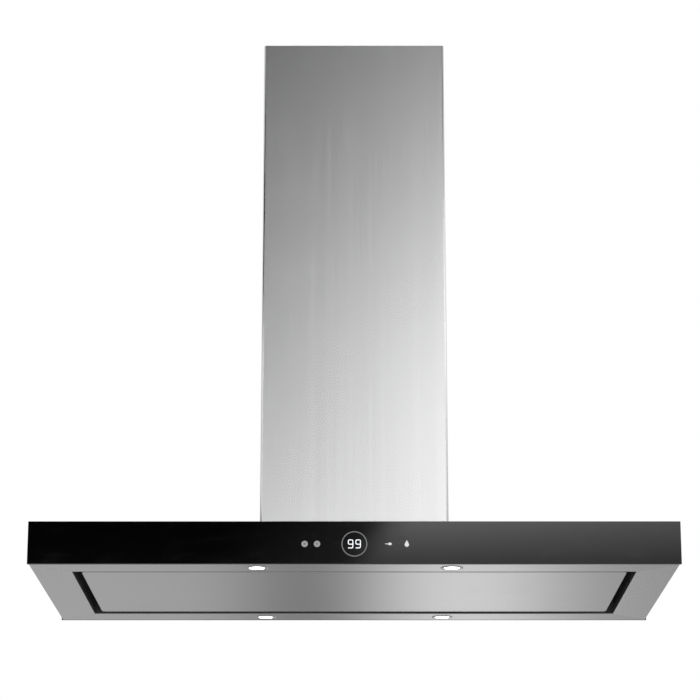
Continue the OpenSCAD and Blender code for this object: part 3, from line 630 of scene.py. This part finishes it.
for side, along, sign in (("front", "X", -1), ("rear", "X", 1), ("left", "Y", -1), ("right", "Y", 1)):
    build_strip(f"underside_{side}_strip", along, sign)


# ---- lamps -----------------------------------------------------------------------------------

def build_lamps():
    """A pressed rim and a shallow frosted dome for each lamp."""
    rim = [(14.3, -0.35), (14.45, -0.8), (15.1, -1.15), (17.5, -1.2), (19.8, -1.05), (20.7, -0.7),
           (21.0, -0.2), (21.0, 0.0), (16.2, 0.0), (15.7, -0.3), (14.3, -0.35)]
    dome = [(0, -0.9), (4, -0.86), (8, -0.72), (12, -0.45), (14.6, -0.2), (15.3, 0.1), (15.4, 0.6),
            (15.4, 2.9), (0, 2.9)]
    rims, domes = bmesh.new(), bmesh.new()
    for x, y in LAMPS:
        place = Matrix.Translation((x, y, z_bot))
        turned(rims, rim, place, 72)
        turned(domes, dome, place, 60)
    bmesh.ops.remove_doubles(rims, verts=rims.verts, dist=1e-4)
    piece("lamp_rims", rims, "bezel_steel", "hood", "lamp_bezels")
    piece("lamp_domes", domes, "lens", "hood", "lamp_lenses")


build_lamps()


# ---- suction panel ---------------------------------------------------------------------------

pan_low, pan_high = corners("perimeter_panel")
floor_z = pan_low.z + SHEET
pin_low, pin_high = corners("panel_hinge_pins")
pin_y, pin_z = (pin_low.y + pin_high.y) / 2, (pin_low.z + pin_high.z) / 2
pins_x = [(low.x + high.x) / 2 for low, high in islands("panel_hinge_pins")]
PAN_CORNER = 8.0  # radius of the pan's corners
PAN_FOLD = 1.3  # outer radius of the fold round the pan


def pan_ring(inset, height):
    """A rounded rectangle, set in from the pan's outline."""
    ring = []
    for quarter, (side_x, side_y) in enumerate(((1, 1), (-1, 1), (-1, -1), (1, -1))):
        centre = (side_x * (pan_high.x - PAN_CORNER), side_y * (pan_high.y - PAN_CORNER))
        ring += [Vector((x, y, height))
                 for x, y in arc(centre, PAN_CORNER - inset, 90 * quarter, 90 * quarter + 90, 5)]
    return ring


def build_pan():
    """The folded pan, with painted shade in a darker steel round its rim, and a notch for each hinge."""
    top = pan_high.z
    fold = (PAN_FOLD, pan_low.z + PAN_FOLD)
    outer = [(0.1, top), (0, top - 0.2)] + arc(fold, PAN_FOLD, 180, 270, 6)
    inner = arc(fold, PAN_FOLD - SHEET, 270, 180, 4) + [(SHEET, top - 0.2), (SHEET - 0.1, top)]
    bm = bmesh.new()
    rows = skin(bm, [pan_ring(inset, height) for inset, height in outer + inner])
    # between the folds, the sheet's two faces take the place of the ring that joins them
    under, above = rows[len(outer) - 1], rows[len(outer)]
    for pair in zip(under, above):
        bm.edges.remove(bm.edges.get(pair))
    bm.faces.new(under)
    bm.faces.new(above)
    pan = piece("suction_panel", bm, "panel_steel", "panel", "perimeter_panel")
    pan.data.materials.append(materials["rim_steel_painted_shade"])
    # the rim's upright faces take the darker steel as painted shade
    painted_shade_from = pan_low.z + PAN_FOLD * 0.3
    for face in pan.data.polygons:
        face.material_index = int(painted_shade_from < face.center.z / MM and abs(face.normal.z) < 0.8)
    notches = bmesh.new()
    for x in pins_x:
        brick(notches, (x - 12, pan_high.y - 3, pan_low.z + 3), (x + 12, pan_high.y + 2, top + 2))
    cut(pan, notches)


def build_ears():
    """Upright hinge ears with a bore for the pin, each on its foot."""
    radius, thick = 5.0, 3.0
    # turns a drawing's X to Y, its Y to Z, and its thickness to X
    upright = Matrix(((0, 0, 1, 0), (1, 0, 0, 0), (0, 1, 0, 0), (0, 0, 0, 1)))
    foot = floor_z - pin_z
    outline = arc((0, 0), radius, 0, 180, 16) + [(-radius, foot), (radius, foot)]
    bore = 2.56  # radius
    ears, bores = bmesh.new(), bmesh.new()
    for x in pins_x:
        slab(ears, outline, thick, Matrix.Translation((x - thick / 2, pin_y, pin_z)) @ upright)
        brick(ears, (x - 9, pin_y - radius, floor_z), (x + 9, pin_y + radius, floor_z + 1.2), 0.5)
        rod(bores, (x - 6, pin_y, pin_z), (x + 6, pin_y, pin_z), bore, 32)
    cut(piece("panel_ears", ears, "panel_steel", "panel"), bores)


def build_ribs():
    """Two pressed hat ribs along the pan, spot welded through their flanges."""
    half = [(10.6, 7.8), (12.4, 6.9), (14.6, 1.0), (24, 1.0), (24, 0), (15.6, 0), (13.4, 0.6),
            (11.5, 6.0), (10.0, 6.8)]
    hat = half + [(-across, up) for across, up in reversed(half)]
    weld = [(0, 1.22), (1.6, 1.15), (2.4, 1.0), (2.6, 0.6)]
    end = pan_high.x - 40  # clear of the pan's ends
    bm = bmesh.new()
    for y in (-100.0, 100.0):
        skin(bm, [[Vector((x, y + across, floor_z + up)) for across, up in hat] for x in (-end, end)],
             capped=True)
        for x in range(-440, 441, 80):
            for flange in (-19.5, 19.5):
                turned(bm, weld, Matrix.Translation((x, y + flange, floor_z)), 16)
    piece("panel_ribs", bm, "panel_steel", "panel")


build_pan()
build_ears()
build_ribs()


# ---- screws of the column --------------------------------------------------------------------

def build_column_screws(node, body):
    """Button-head screws with a hexagon socket, pointing inwards from both sides."""
    thick, shank = 1.3, 1.5
    bm = bmesh.new()
    for low, high in islands(node):
        side = 1 if low.x + high.x > 0 else -1
        inner, outer = sorted((abs(low.x), abs(high.x)))
        radius = (high.y - low.y) / 2
        tip = inner - outer + thick
        seat = Vector((side * (outer - thick), (low.y + high.y) / 2, (low.z + high.z) / 2))
        outwards = Vector((side, 0, 0)).to_track_quat("Z", "Y").to_matrix().to_4x4()
        head = [(radius, 0), (radius, 0.3), (radius * 0.95, 0.65), (radius * 0.8, 1.0),
                (radius * 0.6, 1.22), (radius * 0.46, thick)]
        socket = [(1.25, 1.25, 6), (1.2, 0.35, 6), (0, 0.15)]
        turned(bm, [(0, tip), (1.1, tip), (shank, tip + 0.5), (shank, 0)] + head + socket,
               Matrix.Translation(seat) @ outwards, 36)
    piece(node + "_button_heads", bm, "screw_stainless", body, node)


build_column_screws("lower_chimney_screws", "hood")
build_column_screws("upper_chimney_screws", "ceiling_mount")


# ---- filters and latches ---------------------------------------------------------------------

SIDES = ("left", "center", "right")


def build_filter_meshes():
    """Expanded aluminium sheet in each filter: diamonds with slanted strands."""
    low, high = corners("filter_meshes")
    height = (low.z + high.z) / 2 - 2.5  # in the lower part of the filter
    long, short = 9.0, 4.5  # half of a diamond's length and width
    border = 6.0  # free strip inside the filter's rim
    bm = bmesh.new()
    for rim_low, rim_high in [corners("grease_filter_" + side) for side in SIDES]:
        middle = (rim_low.x + rim_high.x) / 2
        across = int((rim_high.x - rim_low.x - 2 * border) / 2 / long)
        deep = int((rim_high.y - rim_low.y - 2 * border) / 2 / short)
        knots = {}

        def knot(i, j):
            """The point where strands meet, made once for all the diamonds round it."""
            if (i, j) not in knots:
                lift = 0.5 if j % 2 else -0.5
                knots[i, j] = bm.verts.new((middle + i * long, j * short, height + lift))
            return knots[i, j]

        for j in range(-deep, deep + 1):
            for i in range(-across, across + 1):
                if (i + j) % 2:
                    continue
                outer = [knot(i - 1, j), knot(i, j - 1), knot(i + 1, j), knot(i, j + 1)]
                centre = Vector((middle + i * long, j * short, height))
                inner = [bm.verts.new(centre.lerp(vert.co, 0.7) + Vector((0, 0, lift)))
                         for vert, lift in zip(outer, (0.1, 0.35, 0.1, -0.35))]
                for k in range(4):
                    m = (k + 1) % 4
                    bm.faces.new((outer[k], outer[m], inner[m], inner[k]))
    sheet = piece("filter_expanded_sheet", bm, "filter_mesh", "hood", "filter_meshes")
    thick = sheet.modifiers.new("thickness", "SOLIDIFY")
    thick.thickness = 0.5 * MM
    thick.offset = 0


def build_springs():
    """A wire coil behind each latch."""
    wire, turns, per_turn = 0.22, 8, 14
    bm = bmesh.new()
    for low, high in islands("latch_springs"):
        x, z = (low.x + high.x) / 2, (low.z + high.z) / 2
        radius = (high.x - low.x) / 2 - wire
        start, length = low.y + wire, high.y - low.y - 2 * wire
        coil = [(x + radius * math.cos(math.tau * k / per_turn), start + length * k / (turns * per_turn),
                 z + radius * math.sin(math.tau * k / per_turn)) for k in range(turns * per_turn + 1)]
        tube(bm, coil, wire, 6)
    piece("latch_coils", bm, "spring_steel", "hood", "latch_springs", angle=60)


def build_latch(side):
    """A latch slide: its plate above, and a thumb grip with four ribs below."""
    node = "filter_latch_" + side
    low, high = corners(node)
    middle = (low.x + high.x) / 2
    plate = high.z - 3.0
    bm = bmesh.new()
    brick(bm, (low.x, low.y, plate), high, 0.7, 3)
    brick(bm, (middle - 5.5, high.y - 6, low.z), (middle + 5.5, high.y, plate + 1), 0.9, 3)
    for k in range(4):
        z = low.z + 1.3 + k * 1.4
        brick(bm, (middle - 4.6, high.y - 6.35, z), (middle + 4.6, high.y - 5.4, z + 0.6), 0.25)
    piece("latch_slide_" + side, bm, "black_plastic", "latch_" + side, node)


build_filter_meshes()
build_springs()
for side in SIDES:
    build_latch(side)


# ---- CAD nodes that keep their shape ---------------------------------------------------------

EDGE = 0.4  # width of a softened edge
OTHER_EDGES = {"impeller": 0.0, "filter_frame": 0.3}  # 0 leaves them sharp


def soften(obj, width):
    """Rounds the sharp edges of a CAD node, without touching its mesh."""
    weld = obj.modifiers.new("weld", "WELD")
    weld.merge_threshold = 0.002 * MM
    flat = obj.modifiers.new("flat", "DECIMATE")
    flat.decimate_type = "DISSOLVE"
    flat.angle_limit = math.radians(0.6)
    edges = obj.modifiers.new("edges", "BEVEL")
    edges.width = width * MM
    edges.segments = 2
    edges.limit_method = "ANGLE"
    edges.angle_limit = math.radians(35)
    edges.harden_normals = True


for part in frame["record"]["subparts"]:
    obj = nodes[part["node"]]
    obj.data.materials.clear()
    obj.data.materials.append(materials[part["material_slot"]])
    width = OTHER_EDGES.get(part["node"], EDGE)
    if part["node"] not in replaced and width:
        soften(obj, width)


# ---- stage, in metres ------------------------------------------------------------------------

FLOOR_Z = -6.0
FLOOR_HALF = 150.0
CAMERA_TILT = 15.82  # degrees above the level


def build_floor():
    """A plain pale floor, far enough below the hanging hood to look up from."""
    bm = bmesh.new()
    bmesh.ops.create_grid(bm, x_segments=1, y_segments=1, size=FLOOR_HALF,
                          matrix=Matrix.Translation((0, 0, FLOOR_Z)))
    mesh = bpy.data.meshes.new("floor")
    bm.to_mesh(mesh)
    bm.free()
    graph, shader = new_surface("floor", Roughness=0.8)
    patches = graph.noise(graph.place(), 0.6, detail=2)
    graph.feed(shader["Base Color"], graph.blend(patches, grey(0.88), grey(0.9)))
    mesh.materials.append(materials["floor"])
    floor = placed("floor", mesh)
    floor.visible_glossy = False


def build_world():
    """Soft studio surroundings: white to the eye, with a shaped key light, a dark front and fills."""
    world = bpy.data.worlds.new("studio")
    bpy.context.scene.world = world
    world.use_nodes = True
    graph = Graph(world.node_tree)
    direction = graph.node("ShaderNodeTexCoord").outputs["Generated"]
    x, y, z = graph.node("ShaderNodeSeparateXYZ", {0: direction}).outputs
    # angles in degrees: to the right of the front, to the right of the rear, and above the horizon
    front = graph.math("DEGREES", graph.math("ARCTAN2", x, graph.math("MULTIPLY", y, -1.0)))
    rear = graph.math("DEGREES", graph.math("ARCTAN2", x, y))
    height = graph.math("DEGREES", graph.math("ARCSINE", z))

    def times(*parts):
        """All the parts multiplied together."""
        product = parts[0]
        for part in parts[1:]:
            product = graph.math("MULTIPLY", product, part)
        return product

    def band(angle, middle, half, soft):
        """1 round the middle and 0 further off; the edge lies half away, and is soft to both sides of it."""
        away = graph.math("ABSOLUTE", graph.math("SUBTRACT", angle, middle))
        return graph.spread(away, half - soft, half + soft, 1.0, 0.0)

    def patch(angle, middle, half, soft, level, level_half, level_soft):
        """A soft rectangle of the surroundings, level being its middle above the horizon."""
        return times(band(angle, middle, half, soft), band(height, level, level_half, level_soft))

    # surroundings, with a dark part in front of the hood
    dark_front = patch(front, -6.0, 50.0, 16.0, 28.0, 22.0, 6.0)
    light = times(graph.spread(height, -25.0, 35.0, 0.50, 0.70), graph.math("SUBTRACT", 1.0, dark_front))
    # key light to the right of the camera; its left edge leans away from the hood
    lean = graph.math("MULTIPLY_ADD", height, -0.62, front)
    key = times(graph.spread(lean, -7.1, -6.1), graph.spread(front, 1.0, 10.0, 1.0, 0.65),
                graph.spread(front, 16.0, 36.0, 1.0, 0.0),
                graph.spread(height, 10.0, 14.4), graph.spread(height, 14.0, 29.0, 1.0, 0.0))
    beside_key = times(graph.spread(lean, -10.5, -6.6), dark_front)
    overhead = graph.spread(height, 72.0, 82.0)
    # each of the others with its strength, below 0 for shade
    lights = [(key, 5.3), (beside_key, 0.2), (overhead, 6.4),
              # low bounce in front
              (patch(front, 0.0, 60.0, 30.0, -8.0, 17.6, 1.4), 0.55),
              (patch(front, 0.0, 50.0, 30.0, 6.4, 3.2, 1.4), 1.4),
              # soft windows to both sides
              (patch(front, 96.0, 40.0, 34.0, 14.0, 26.0, 24.0), 0.5),
              (patch(front, -104.0, 36.0, 32.0, 18.0, 30.0, 28.0), 0.45),
              # what the column's rounded corners pick up
              (patch(front, 62.0, 20.0, 12.0, 18.0, 16.0, 10.0), 0.5),
              (patch(front, -58.0, 20.0, 12.0, 18.0, 16.0, 10.0), -0.42),
              # what the underside picks up from behind
              (patch(rear, -0.8, 1.25, 1.2, -10.0, 20.0, 8.0), -0.42),
              (patch(rear, 2.6, 1.8, 1.7, -10.0, 20.0, 8.0), 0.56),
              (patch(rear, 9.0, 5.0, 2.0, -10.0, 20.0, 8.0), -0.14)]
    for part, strength in lights:
        light = graph.math("MULTIPLY_ADD", part, strength, light)

    eye = graph.node("ShaderNodeLightPath").outputs["Is Camera Ray"]
    background = world.node_tree.nodes["Background"]
    background.inputs["Color"].default_value = grey(1.0)
    graph.feed(background.inputs["Strength"], graph.spread(eye, 0.0, 1.0, light, 1.0, smooth=False))


def build_camera():
    """Low in front of the hood and tilted up, so that the underside shows."""
    data = bpy.data.cameras.new("camera")
    data.lens = 132.8
    data.clip_end = 200.0
    camera = placed("camera", data)
    camera.location = (-0.008, -4.956, -1.992)
    camera.rotation_euler = (math.radians(90 + CAMERA_TILT), 0, 0)
    bpy.context.scene.camera = camera


build_floor()
build_world()
build_camera()
bpy.context.scene.view_settings.view_transform = "Standard"
